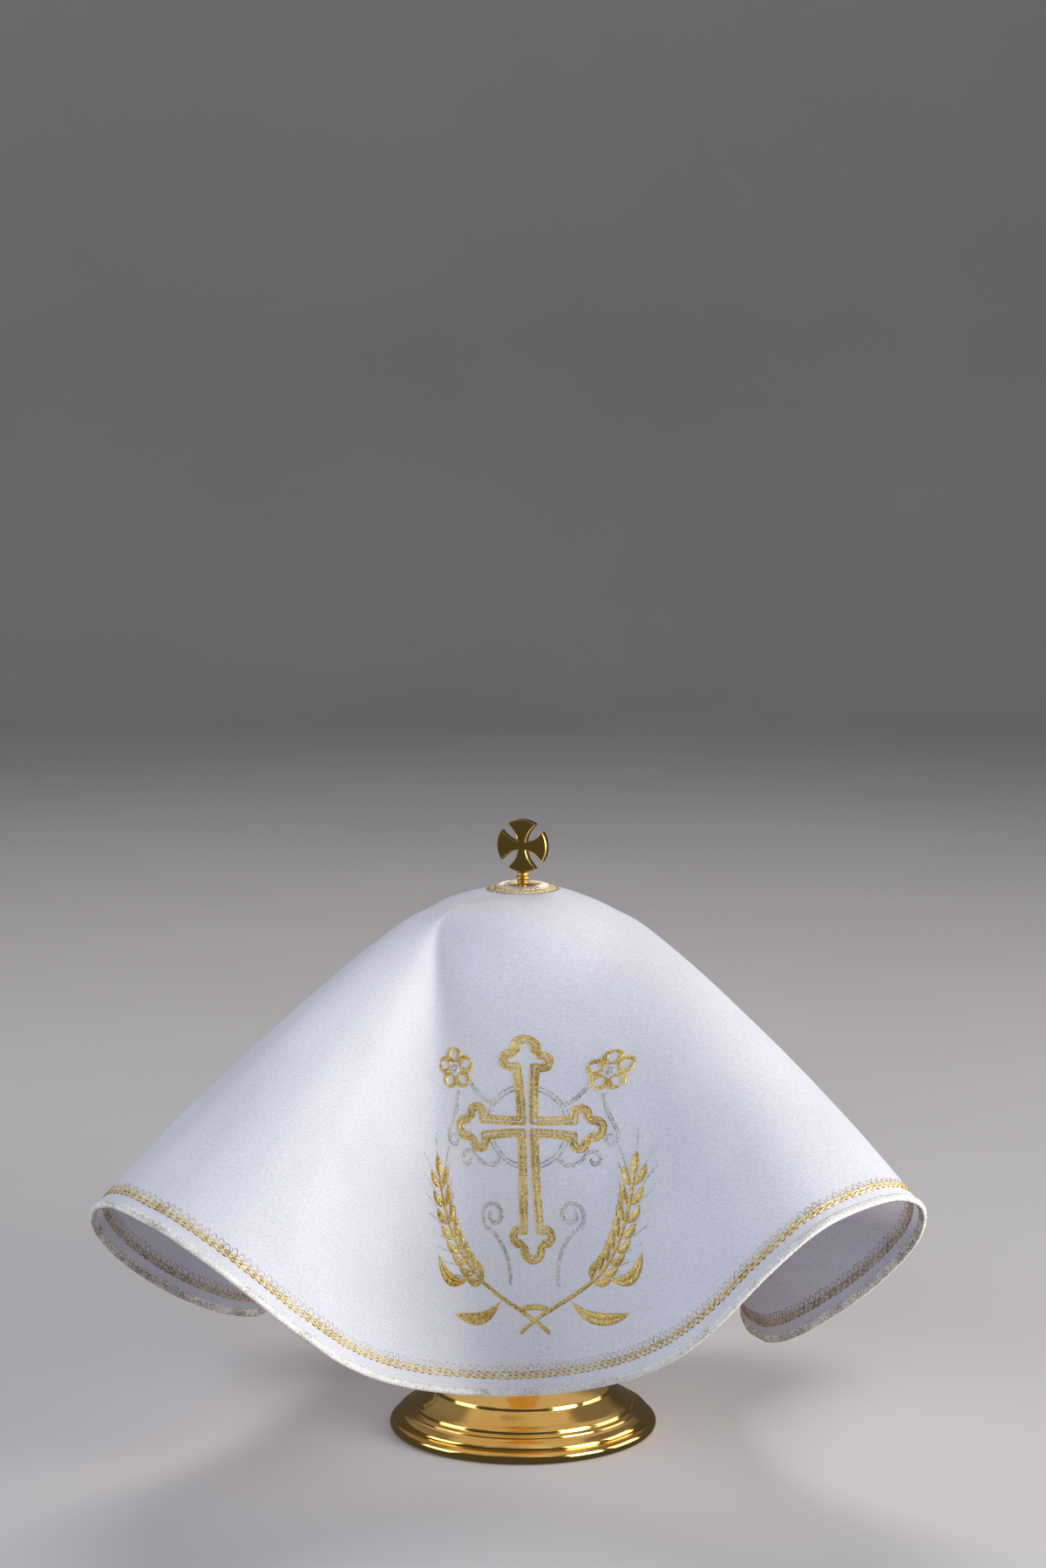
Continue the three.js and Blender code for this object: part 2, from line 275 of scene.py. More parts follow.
def cloth_material(name, low, high, glow=0.0):
    """White crepe satin; the inside gets a painted glow, a little emission that stands in for the light that comes
    through and up from below, most at the lit front and top.
    """
    n = Nodes(name)
    if glow:
        # Mask of the painted glow: strongest on the inside over the front of the foot, and at the top.
        where = n.add("ShaderNodeSeparateXYZ", Vector=n.add("ShaderNodeTexCoord").outputs["Object"])
        middle = n.span(n.sums(where.outputs["X"], 0.0, "ABSOLUTE"), 0.045, 0.085, 1.0, 0.0)
        front = n.sums(middle, n.span(where.outputs["Y"], -0.04, -0.10, 0.0, 1.0), "MULTIPLY")
        most = n.sums(front, n.span(where.outputs["Z"], 0.115, 0.145, 0.0, 0.8), "MAXIMUM")
        glow = n.span(most, 0.0, 1.0, glow, 13.0 * glow)
    flat = n.add("ShaderNodeTexCoord").outputs["UV"]     # one unit is the cloth's 0.5 m
    slub = n.add("ShaderNodeTexNoise", Vector=n.scaled(flat, (240.0, 600.0, 1.0)), Scale=1.0, Detail=3.0, Roughness=0.62)
    grain = n.add("ShaderNodeTexNoise", Vector=n.scaled(flat, (700.0, 700.0, 1.0)), Scale=1.0, Detail=2.0, Roughness=0.6)
    cloud = n.add("ShaderNodeTexNoise", Vector=n.scaled(flat, (12.0, 12.0, 1.0)), Scale=1.0, Detail=3.0)
    weft = n.add("ShaderNodeTexWave", Vector=flat, Scale=250.0, Distortion=1.2, Detail=1.0)
    warp = n.add("ShaderNodeTexWave", Vector=flat, Scale=300.0, Distortion=1.2, Detail=1.0)
    warp.bands_direction = "Y"
    threads = n.sums(weft.outputs["Fac"], warp.outputs["Fac"], "MULTIPLY")
    pebble = n.sums(slub.outputs["Fac"], grain.outputs["Fac"])
    height = n.sums(pebble, threads)
    tone = n.sums(pebble, n.span(cloud.outputs["Fac"], 0.3, 0.7, -0.08, 0.08))
    colour = n.ramp(n.span(tone, 0.62, 1.38, 0.0, 1.0), (0.0, low), (1.0, high))
    return n.set(
        Base_Color=colour,
        Roughness=n.span(grain.outputs["Fac"], 0.3, 0.7, 0.46, 0.64),
        Normal=n.bump(height, 0.5, 0.0004),
        Sheen_Weight=0.2, Sheen_Roughness=0.45, Specular_IOR_Level=0.5,
        Emission_Color=(0.335, 0.290, 0.295, 1.0), Emission_Strength=glow,
    )


def thread_material(name, dark, mid, light, metallic, roughness):
    """Metallic embroidery thread: fine twist, broken sparkle."""
    n = Nodes(name)
    place = n.add("ShaderNodeTexCoord").outputs["Object"]
    spark = n.add("ShaderNodeTexNoise", Vector=place, Scale=820.0, Detail=2.0, Roughness=0.7)
    drift = n.add("ShaderNodeTexNoise", Vector=place, Scale=90.0, Detail=2.0)
    twist = n.add("ShaderNodeTexVoronoi", Vector=place, Scale=1700.0)
    tone = n.sums(n.sums(spark.outputs["Fac"], drift.outputs["Fac"]), twist.outputs["Distance"])
    colour = n.ramp(n.span(tone, 1.05, 1.75, 0.0, 1.0), (0.0, dark), (0.45, mid), (1.0, light))
    return n.set(
        Base_Color=colour, Metallic=metallic,
        Roughness=n.span(spark.outputs["Fac"], 0.3, 0.7, roughness - 0.08, roughness + 0.12),
        Normal=n.bump(n.sums(twist.outputs["Distance"], spark.outputs["Fac"]), 0.7, 0.00025),
    )


def brass_material(name, dull=1.0):
    n = Nodes(name)
    place = n.add("ShaderNodeTexCoord").outputs["Object"]
    cloud = n.add("ShaderNodeTexNoise", Vector=place, Scale=38.0, Detail=4.0, Roughness=0.6)
    rub = n.add("ShaderNodeTexNoise", Vector=n.scaled(place, (60.0, 60.0, 2600.0)), Scale=1.0, Detail=3.0, Roughness=0.65)
    wear = n.sums(cloud.outputs["Fac"], rub.outputs["Fac"])
    colour = n.ramp(n.span(wear, 0.7, 1.3, 0.0, 1.0), (0.0, (0.910, 0.560, 0.130)), (1.0, (0.990, 0.700, 0.205)))
    return n.set(
        Base_Color=colour, Metallic=1.0,
        Roughness=n.span(wear, 0.7, 1.3, 0.055 * dull, 0.15 * dull),
        Normal=n.bump(rub.outputs["Fac"], 0.05, 0.00012),
    )


def floor_material():
    n = Nodes("pale_floor")
    place = n.add("ShaderNodeTexCoord").outputs["Object"]
    cloud = n.add("ShaderNodeTexNoise", Vector=place, Scale=3.0, Detail=3.0)
    return n.set(
        Base_Color=n.ramp(cloud.outputs["Fac"], (0.3, (0.600, 0.590, 0.580)), (0.7, (0.630, 0.620, 0.610))),
        Roughness=0.75,
    )


CLOTH = cloth_material("white_crepe_satin", (0.680, 0.690, 0.755), (0.935, 0.940, 0.980))
# The cloth's inside: a darker copy of the same crepe satin, painted shade, plus the painted glow.
CLOTH_BACK_SHADE_GLOW = cloth_material("white_crepe_satin_inside_painted_shade_glow", (0.305, 0.315, 0.385), (0.460, 0.480, 0.565), 0.108)
EDGE = thread_material("cream_silver_edging", (0.38, 0.36, 0.29), (0.86, 0.84, 0.76), (1.0, 1.0, 0.96), 0.06, 0.36)
# A darker copy of the edging for its inside half: painted shade.
EDGE_BACK_SHADE = thread_material("cream_silver_edging_inside_painted_shade", (0.20, 0.19, 0.165), (0.45, 0.43, 0.39), (0.84, 0.82, 0.76), 0.10, 0.40)
HOLE_EDGE = thread_material("cream_gold_edging", (0.44, 0.32, 0.14), (0.88, 0.76, 0.50), (1.0, 0.97, 0.82), 0.20, 0.36)
GOLD = thread_material("gold_thread", (0.44, 0.26, 0.05), (0.86, 0.62, 0.20), (1.0, 0.91, 0.54), 0.30, 0.34)
# A darker copy of the gold thread for the rows on the inside: painted shade.
GOLD_BACK_SHADE = thread_material("gold_thread_inside_painted_shade", (0.16, 0.10, 0.05), (0.36, 0.27, 0.16), (0.66, 0.56, 0.40), 0.30, 0.38)
# Dark threads that stand in for the shade between the gold rows: painted shade.
SHADE_DASH_GOLD = thread_material("painted_shade_gold_thread", (0.10, 0.055, 0.015), (0.25, 0.16, 0.055), (0.50, 0.37, 0.17), 0.30, 0.42)
PICOT = thread_material("fine_gold_thread", (0.26, 0.19, 0.09), (0.52, 0.41, 0.24), (0.86, 0.76, 0.55), 0.20, 0.40)
# A darker copy of the fine gold thread for the inside: painted shade.
PICOT_BACK_SHADE = thread_material("fine_gold_thread_inside_painted_shade", (0.10, 0.075, 0.05), (0.22, 0.17, 0.12), (0.42, 0.35, 0.26), 0.20, 0.42)
SATIN = thread_material("gold_embroidery_thread", (0.28, 0.16, 0.02), (0.64, 0.42, 0.08), (0.98, 0.78, 0.31), 0.40, 0.32)
SILVER = thread_material("silver_thread", (0.20, 0.19, 0.16), (0.50, 0.48, 0.42), (0.92, 0.91, 0.85), 0.35, 0.34)
BRASS = brass_material("polished_gilt_brass")
BRASS_EDGE = brass_material("rubbed_gilt_brass", 3.6)


# ---------------------------------------------------------------- pieces
def add_piece(name, points, faces, material, slot, replaces=(), uv=None, smooth=True, back=None):
    """A mesh piece from points in millimetres, riding on the frame; back is (material, first face that has it)."""
    mesh = bpy.data.meshes.new(name)
    mesh.from_pydata((np.asarray(points) * MM).tolist(), [], faces if isinstance(faces, list) else faces.tolist())
    mesh.polygons.foreach_set("use_smooth", [smooth] * len(mesh.polygons))
    if uv is not None:
        corner = np.zeros(len(mesh.loops), int)
        mesh.loops.foreach_get("vertex_index", corner)
        mesh.uv_layers.new(name="flat").data.foreach_set("uv", uv[corner].ravel())
    mesh.materials.append(material)
    if back:
        mesh.materials.append(back[0])
        mesh.polygons.foreach_set("material_index", (np.arange(len(mesh.polygons)) >= back[1]).astype(np.int32))
    mesh.update()
    piece = bpy.data.objects.new(name, mesh)
    bpy.context.scene.collection.objects.link(piece)
    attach(piece, "root")
    if replaces:
        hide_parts(*replaces)
    return piece


def grid_faces(rows, columns, closed):
    """Quads of a grid of points, rows by columns, closed round the columns or not."""
    i, j = np.meshgrid(np.arange(rows - 1), np.arange(columns if closed else columns - 1), indexing="ij")
    k = (j + 1) % columns
    return np.stack([i * columns + j, (i + 1) * columns + j, (i + 1) * columns + k, i * columns + k], -1).reshape(-1, 4)


def make_veil():
    columns = 360
    paths = np.concatenate([np.linspace(HOLE_RADIUS, 20, 7), np.linspace(20, 72, 38)[1:], np.linspace(72, CLOTH_RADIUS, 68)[1:]])
    rows = len(paths)
    flat = -180 + 360 * np.arange(columns) / columns
    s, f = np.meshgrid(paths, flat, indexing="ij")
    outer, inner = on_cloth(s, f, 0.0, 1).reshape(-1, 3), on_cloth(s, f, 0.0, -1).reshape(-1, 3)
    count = rows * columns
    quads = grid_faces(rows, columns, True)
    j = np.arange(columns)
    k = (j + 1) % columns
    last = (rows - 1) * columns
    hem = np.stack([last + j, count + last + j, count + last + k, last + k], -1)
    hole = np.stack([j, k, count + k, count + j], -1)
    turn = np.radians(f.ravel())
    place = np.stack([0.5 + s.ravel() * np.sin(turn) / 500, 0.5 - s.ravel() * np.cos(turn) / 500], -1)
    return add_piece("veil_cloth", np.concatenate([outer, inner]),
                     np.concatenate([quads, quads[:, ::-1] + count, hem, hole]),
                     CLOTH, "white_cloth", ["veil"], np.concatenate([place, place]), back=(CLOTH_BACK_SHADE_GLOW, len(quads)))


# Edging profile: inset from the hem, height over the outer face, share of the stitch ridges, mm.
EDGE_PROFILE = np.array([
    (2.9, -0.05, 0.0), (2.75, 0.34, 0.6), (2.2, 0.56, 1.0), (1.5, 0.62, 1.0), (0.8, 0.56, 1.0), (0.25, 0.36, 0.9),
    (-0.1, 0.0, 0.8), (-0.2, -0.5, 0.8), (-0.1, -1.0, 0.8),
    (0.25, -1.36, 0.9), (0.9, -1.56, 1.0), (1.7, -1.62, 1.0), (2.6, -1.56, 1.0), (3.2, -1.34, 0.6), (3.4, -0.95, 0.0),
])


def make_edging(name, base, outward, pitch, seed, stretch=1.0):
    """Close over-edge stitches round the cloth's rim: two columns of points to a stitch."""
    rng = np.random.default_rng(seed)
    at = even_flats(base - outward * 2, pitch)
    stitches = len(at) - 1
    columns = 2 * stitches
    crest = np.where(np.arange(columns) % 2 == 0, 1.0, -1.0)
    tall = np.repeat(rng.uniform(0.5, 1.5, stitches), 2)
    reach = np.repeat(rng.uniform(-0.3, 0.3, stitches), 2)
    flat = np.stack([at[:-1], (at[:-1] + at[1:]) / 2], -1).ravel()
    inset, lift, share = (EDGE_PROFILE[:, c, None] for c in range(3))
    slant = 0.5 * (1 - np.abs(inset - 1.6) / 1.6) / base * 180 / math.pi
    inset = inset * stretch
    outside = np.where(lift > -CLOTH_THICK / 2, 1.0, -1.0)
    path = base + outward * (-inset + reach * share * (inset > 0.5) + 0.12 * crest * tall * share)
    height = lift + outside * 0.24 * crest * tall * share * (inset > 0)
    shape = (len(EDGE_PROFILE), columns)
    turned = np.broadcast_to(flat, shape) + slant
    points = cloth_point(np.broadcast_to(path, shape), turned)
    normal = across(cloth_point, np.broadcast_to(path, shape), turned)
    points = points + normal * np.broadcast_to(height, shape)[..., None]
    faces = grid_faces(shape[0], columns, True)
    if outward < 0:
        return add_piece(name, points.reshape(-1, 3), faces, HOLE_EDGE, "gold_thread")
    # The edging's inside half takes the darker copy: painted shade.
    return add_piece(name, points.reshape(-1, 3), faces[:, ::-1], EDGE, "silver_thread", back=(EDGE_BACK_SHADE, 8 * columns))


STRAND_RINGS = np.array([(0.0, 0.35, 0.15), (0.2, 0.9, 0.85), (0.5, 1.0, 1.0), (0.8, 0.9, 0.85), (1.0, 0.35, 0.15)])
STRAND_ARCH = np.array([(-1.0, -0.1), (-0.55, 0.8), (0.55, 0.8), (1.0, -0.1)])


def strands(path0, flat0, path1, flat1, half, high, side=1, sag=0.0):
    """Many short threads lying on the cloth, each from one point to another, as one mesh's points and quads."""
    ring, arch = STRAND_RINGS, STRAND_ARCH
    t = ring[:, 0][None, :, None]
    path = path0[:, None, None] + (path1 - path0)[:, None, None] * t
    flat = flat0[:, None, None] + (flat1 - flat0)[:, None, None] * t
    per = math.pi / 180 * path0
    long_path, long_flat = path1 - path0, (flat1 - flat0) * per
    size = np.hypot(long_path, long_flat)
    across_path, across_flat = -long_flat / size, long_path / size / per
    w = half * ring[:, 1][None, :, None] * arch[:, 0][None, None, :]
    path = path + across_path[:, None, None] * w
    flat = flat + across_flat[:, None, None] * w
    lift = high * ring[:, 2][None, :, None] * arch[:, 1][None, None, :] + sag * np.sin(math.pi * t)
    points = on_cloth(path, flat, np.broadcast_to(lift, path.shape), side)
    count, rows, columns = path.shape
    one = grid_faces(rows, columns, False)
    faces = (one[None] + (np.arange(count) * rows * columns)[:, None, None]).reshape(-1, 4)
    return points.reshape(-1, 3), faces if side < 0 else faces[:, ::-1]


def join(parts):
    points, faces, start = [], [], 0
    for p, f in parts:
        points.append(p)
        faces.append(f + start)
        start += len(p)
    return np.concatenate(points), np.concatenate(faces)


STITCH = 3.6                     # pitch of the gold rows along the hem
ROW_INSETS = (7.9, 9.4)          # middles of the two chain rows, from the hem
DASH_INSETS = (7.25, 8.65, 10.05) # dark threads beside them: painted shade in the gaps between the rows
PICOT_INSET, PICOT_TALL = 10.3, 2.7


def chain_row(path, pitch, half_row, thread, side, rng, way):
    """A row of chain stitch: a leaning V of two threads at each stitch."""
    at = even_flats(path, pitch)
    step = np.diff(at)
    count = len(step)
    flat = at[:-1] + step * rng.uniform(-0.1, 0.1, count)
    parts = []
    for edge, lead in ((-1, 0.0), (1, 0.42)):
        start = path + edge * half_row + rng.uniform(-0.1, 0.1, count)
        end = path + edge * half_row * 0.15 + way * 0.25
        parts.append(strands(start, flat + step * lead, end + np.zeros(count), flat + step * (lead + 1.02), thread, 0.5, side))
    return parts


def dash_row(path, pitch, lead, side, rng):
    """Short dark threads between the stitches of a row: painted shade in the gaps."""
    at = even_flats(path, pitch)
    step = np.diff(at)
    count = len(step)
    flat = at[:-1] + step * (lead + rng.uniform(-0.12, 0.12, count))
    long = step * rng.uniform(0.42, 0.66, count)
    lean = rng.uniform(-0.15, 0.3, count)
    return [strands(np.full(count, path), flat, path + lean, flat + long, 0.27, 0.42, side)]


def picot_row(path, pitch, tall, side, rng, way):
    """Thin arched loops standing off the chain rows, each of four short threads."""
    at = even_flats(path, pitch)
    step = np.diff(at)
    count = len(step)
    turn = np.radians([0, 42, 90, 138, 180])
    middle = at[:-1] + step * (0.5 + rng.uniform(-0.1, 0.1, count))
    rise = tall * rng.uniform(0.8, 1.08, count)
    wide = step * rng.uniform(0.34, 0.44, count)
    xs = [middle - wide * math.cos(a) for a in turn]
    ys = [path + way * rise * math.sin(a) for a in turn]
    return [strands(ys[k], xs[k], ys[k + 1], xs[k + 1], 0.15, 0.26, side) for k in range(4)]


def make_hem_stitches(name, side, seed):
    rng = np.random.default_rng(seed)
    bright, dark = [], []
    # Inside, the rows and loops take darker copies of the threads, painted shade; the dashes are painted shade on
    # either side.
    gold, shade_thread, fine = (GOLD, SHADE_DASH_GOLD, PICOT) if side > 0 else (GOLD_BACK_SHADE, PICOT_BACK_SHADE, PICOT_BACK_SHADE)
    for inset, way in zip(ROW_INSETS, (1, -1)):
        bright += chain_row(CLOTH_RADIUS - inset, STITCH, 0.4, 0.31, side, rng, way)
    for inset, lead in zip(DASH_INSETS, (0.1, 0.45, 0.75)):
        dark += dash_row(CLOTH_RADIUS - inset, STITCH, lead, side, rng)
    loops = picot_row(CLOTH_RADIUS - PICOT_INSET, STITCH, PICOT_TALL, side, rng, -1)
    return [add_piece(name, *join(bright), gold, "gold_thread"),
            add_piece(name + "_dark", *join(dark), shade_thread, "gold_thread"),
            add_piece(name + "_loops", *join(loops), fine, "gold_thread")]


def make_hole_stitches():
    rng = np.random.default_rng(29)
    bright = chain_row(13.3, 2.4, 0.4, 0.36, 1, rng, 1) + chain_row(14.7, 2.4, 0.4, 0.36, 1, rng, -1)
    # The dashes and the loops round the hole take the painted-shade thread.
    dark = dash_row(12.6, 2.4, 0.2, 1, rng) + dash_row(14.0, 2.4, 0.6, 1, rng) + picot_row(15.3, 2.4, 1.6, 1, rng, 1)
    return [add_piece("hole_gold_stitches", *join(bright), GOLD, "gold_thread"),
            add_piece("hole_gold_stitches_dark", *join(dark), SHADE_DASH_GOLD, "gold_thread")]


# ---------------------------------------------------------------- embroidery
# A generic cross with wheat, flowers and tendrils, drawn flat in millimetres: x to the
# right, z up from the middle of the design, on an axis beside the cloth's own.
DESIGN_X, DESIGN_Y = 18.2, 154.0
DESIGN_SCALE, DESIGN_WEIGHT = 1.06, 1.3
RIBBON_ARCH = np.array([(-1.0, -0.15), (-0.8, 0.62), (-0.3, 0.96), (0.3, 0.96), (0.8, 0.62), (1.0, -0.15)])


def resampled(line, step):
    line = np.asarray(line, float)
    along = np.concatenate([[0], np.cumsum(np.linalg.norm(np.diff(line, axis=0), axis=1))])
    count = max(int(math.ceil(along[-1] / step)), 4)
    at = np.linspace(0, along[-1], count + 1)
    return np.stack([np.interp(at, along, line[:, c]) for c in range(2)], -1)


def curve(*controls, count=40):
    """Bezier curve from the first point to the last, drawn towards those between."""
    t = np.linspace(0, 1, count)[:, None]
    pts = [np.asarray(c, float)[None] for c in controls]
    while len(pts) > 1:
        pts = [a * (1 - t) + b * t for a, b in zip(pts, pts[1:])]
    return pts[0]


def ring(x, z, radius, start=0.0, end=360.0, count=48):
    a = np.radians(np.linspace(start, end, count))
    return np.stack([x + radius * np.cos(a), z + radius * np.sin(a)], -1)


def spiral(x, z, r0, r1, start, end, count=60):
    a, r = np.radians(np.linspace(start, end, count)), np.linspace(r0, r1, count)
    return np.stack([x + r * np.cos(a), z + r * np.sin(a)], -1)


def aside(line, gap):
    """The line moved sideways, to its left."""
    line = resampled(line, 0.5)
    d = np.gradient(line, axis=0)
    d /= np.linalg.norm(d, axis=1, keepdims=True)
    return line + np.stack([-d[:, 1], d[:, 0]], -1) * gap


def satin(line, half, high, taper=0.0, step=0.5):
    """A raised band of satin stitch along a line; taper 1 makes a leaf or grain, 0 an even band."""
    line = resampled(np.asarray(line) * DESIGN_SCALE, step)
    half = half * DESIGN_WEIGHT
    n = len(line)
    t = np.linspace(0, 1, n)
    d = np.gradient(line, axis=0)
    d /= np.maximum(np.linalg.norm(d, axis=1, keepdims=True), 1e-9)
    side = np.stack([-d[:, 1], d[:, 0]], -1)
    body = np.sin(math.pi * np.clip(t, 0.015, 0.985)) ** 0.75
    ends = np.minimum(1.0, np.minimum(t, 1 - t) * n * step / max(half, 0.3) * 0.8 + 0.25)
    wide = half * (taper * body + (1 - taper) * ends)
    tall = high * np.minimum(1.0, wide / half + 0.15) * np.where(np.arange(n) % 2 == 0, 1.0, 0.82)
    place = line[:, None] + side[:, None] * (wide[:, None] * RIBBON_ARCH[None, :, 0])[..., None]
    lift = tall[:, None] * RIBBON_ARCH[None, :, 1]
    x, y = DESIGN_X + place[..., 0], DESIGN_Y - place[..., 1]
    points = on_cloth(np.hypot(x, y), np.degrees(np.arctan2(x, y)), lift, 1)
    return points.reshape(-1, 3), grid_faces(n, len(RIBBON_ARCH), False)


CROSS_MIDDLE = np.array((0.0, 17.0))


def cross_outline(shrink):
    """Closed outline of a cross with slightly flared arms and three-lobed ends, drawn in by shrink."""
    waist, flare = 3.3 - shrink, 4.3 - shrink
    outline = []
    for turn, reach in ((90, 29.0), (0, 23.0), (-90, 46.0), (180, 23.0)):
        a = math.radians(turn - 90)
        side, tip = 3.6 - shrink, 4.4 - shrink
        lobe = (5.6, reach - 1.6)
        start = math.degrees(math.atan2(-side, -(lobe[0] - flare) - 0.6))
        arm = [curve((waist, waist), (waist, reach * 0.5), (flare, reach - 1.6 - side), count=14),
               ring(*lobe, side, -112, 108, 20),
               ring(0.0, reach + 4.0, tip, -22, 202, 24),
               ring(-lobe[0], lobe[1], side, 72, 292, 20),
               curve((-flare, reach - 1.6 - side), (-waist, reach * 0.5), (-waist, waist), count=14)]
        arm = np.concatenate(arm)
        spin = np.array([[math.cos(a), math.sin(a)], [-math.sin(a), math.cos(a)]])
        outline.insert(0, arm @ spin + CROSS_MIDDLE)
    order = [outline[3], outline[0], outline[1], outline[2]]
    outline = np.concatenate(order)
    return np.concatenate([outline, outline[:1]])


def wheat():
    """Stem, grains and awns of the left ear."""
    stem = curve((7, -66), (-8, -52), (-30, -50), (-44, -34), (-45, -2), count=90)
    gold, silver = [(stem, 0.7, 0.5, 0.0)], []
    for k, i in enumerate(range(44, 88, 6)):
        p, d = stem[i], stem[i + 1] - stem[i]
        d = d / np.linalg.norm(d)
        for hand in (-1, 1):
            out = np.array((-d[1], d[0])) * hand
            base = p + out * 0.5
            tip = p + d * 8.0 + out * 4.3
            gold.append((curve(base, p + d * 2.4 + out * 4.4, tip, count=12), 1.45, 0.9, 1.0))
            silver.append((curve(tip, tip + d * 4 + out * 1.6, tip + d * 8 + out * 4.2, count=8), 0.2, 0.25, 0.0))
    p, d = stem[-1], stem[-1] - stem[-2]
    d = d / np.linalg.norm(d)
    gold.append((curve(p - d, p + d * 4, p + d * 9, count=10), 1.6, 0.9, 1.0))
    silver.append((curve(p + d * 9, p + d * 13, p + d * 18 + (1, 0), count=8), 0.2, 0.25, 0.0))
    return gold, silver


def flower(x, z, size):
    """Five-petalled flower, each petal in two halves, with a small knot."""
    gold, silver = [], []
    for k in range(5):
        a = math.radians(90 + 72 * k)
        out = np.array((math.cos(a), math.sin(a)))
        side = np.array((-out[1], out[0]))
        c = np.array((x, z))
        for hand in (-1, 1):
            gold.append((curve(c + out * 0.32 * size, c + out * 0.5 * size + side * hand * 0.46 * size,
                               c + out * 0.85 * size + side * hand * 0.4 * size, c + out * size, count=14), 0.85, 0.65, 0.6))
    silver.append((ring(x, z, 0.14 * size, 0, 360, 20), 0.55, 0.6, 0.0))
    return gold, silver


def design():
    gold, silver = [], []
    gold.append((cross_outline(0.0), 0.82, 0.6, 0.0))
    gold.append((cross_outline(2.0), 0.55, 0.5, 0.0))
    halo = []
    for start in (0, 90, 180, 270):
        for r in (15.6, 17.2):
            halo.append((ring(*CROSS_MIDDLE, r, start + 16, start + 74, 24), 0.3, 0.32, 0.0))
    silver += halo
    one_side_gold, one_side_silver = wheat()
    for base, bend_to, tip, spread in (((-17, -53.2), (-26, -64), (-44, -57), (0.6, 2.6)),
                                       ((-34, -43.5), (-48, -48), (-50.5, -33), (2.0, 1.8))):
        for hand in (-1, 1):
            bent = np.array(bend_to) + np.array(spread) * hand
            one_side_gold.append((curve(base, bent, tip, count=30), 1.15, 0.7, 0.9))
    g, s = flower(-30, 41, 8.5)
    one_side_gold += g
    one_side_silver += s
    tendrils = (
        np.concatenate([curve((-12.5, 27.5), (-18, 27), (-20.5, 32), (-23.6, 36.5), count=20)]),
        np.concatenate([curve((-30, 32.2), (-30, 24), (-36, 20), (-37.5, 14), count=20)[:-1], spiral(-33.8, 13, 3.8, 1.0, 165, 560)]),
        np.concatenate([curve((-10.5, -47), (-9, -36), (-14, -28), (-19.5, -24), count=20)[:-1], spiral(-17.4, -18.6, 5.8, 1.2, 249, -230)]),
        np.concatenate([curve((-13.0, 5), (-15, 0), (-21, 2), (-23.4, 6), count=16)[:-1], spiral(-27.6, 4.2, 4.6, 1.0, 22, 400)]),
    )
    for line in tendrils:
        one_side_silver.append((line, 0.3, 0.32, 0.0))
        one_side_silver.append((aside(line, 1.0), 0.26, 0.3, 0.0))
    for flip in (1.0, -1.0):
        gold += [(np.asarray(l) * (flip, 1), *rest) for l, *rest in one_side_gold]
        silver += [(np.asarray(l) * (flip, 1), *rest) for l, *rest in one_side_silver]
    gold.append((curve((-6.5, -56.5), (0, -54), (6.5, -56.5), count=16), 1.0, 0.7, 0.2))
    return gold, silver


def make_embroidery():
    made = []
    for name, strokes, material, slot in zip(("embroidery_gold", "embroidery_silver"), design(), (SATIN, SILVER),
                                             ("gold_thread", "silver_thread")):
        points, faces = join([satin(*stroke) for stroke in strokes])
        made.append(add_piece(name, points, faces, material, slot))
    return made


# ---------------------------------------------------------------- vessel
def run(points, steps=6):
    """Smooth run through ring sections (radius, height)."""
    p = np.asarray(points, float)
    p = np.concatenate([2 * p[:1] - p[1:2], p, 2 * p[-1:] - p[-2:-1]])
    out = []
    for a, b, c, d in zip(p, p[1:], p[2:], p[3:]):
        for t in np.arange(steps) / steps:
            out.append(0.5 * (2 * b + (c - a) * t + (2 * a - 5 * b + 4 * c - d) * t * t + (3 * b - a - 3 * c + d) * t ** 3))
    return [*out, p[-2]]


def softened(profile, size=0.35, sharp=18.0):
    """The profile with each sharp corner rounded a little."""
    p = [np.asarray(q, float) for q in profile]
    out = [p[0]]
    for a, b, c in zip(p, p[1:], p[2:]):
        u, v = b - a, c - b
        lu, lv = np.linalg.norm(u), np.linalg.norm(v)
        if lu < 1e-6 or lv < 1e-6:
            continue
        turn = math.degrees(math.acos(np.clip(u @ v / lu / lv, -1, 1)))
        if turn < sharp:
            out.append(b)
            continue
        start, end = b - u / lu * min(size, 0.45 * lu), b + v / lv * min(size, 0.45 * lv)
        out += [start * (1 - t) ** 2 + b * 2 * t * (1 - t) + end * t * t for t in (0, 0.25, 0.5, 0.75, 1)]
    return [*out, p[-1]]


def lathe(name, profile, sides, node):
    """Turned piece; the profile runs from the axis up the outside and back to the axis."""
    inner = [p for p in profile if p[0] > 1e-6]
    a = 2 * np.pi * np.arange(sides) / sides
    r, z = np.array(inner).T
    points = np.stack([np.outer(r, np.cos(a)), np.outer(r, np.sin(a)), np.repeat(z[:, None], sides, 1)], -1).reshape(-1, 3)
    faces = grid_faces(len(inner), sides, True)[:, ::-1].tolist()
    start, end = len(points), len(points) + 1
    points = np.concatenate([points, [(0, 0, profile[0][1]), (0, 0, profile[-1][1])]])
    last = (len(inner) - 1) * sides
    for j in range(sides):
        k = (j + 1) % sides
        faces.append([start, k, j])
        faces.append([end, last + j, last + k])
    return add_piece(name, points, faces, BRASS, "gilt_brass", [node])


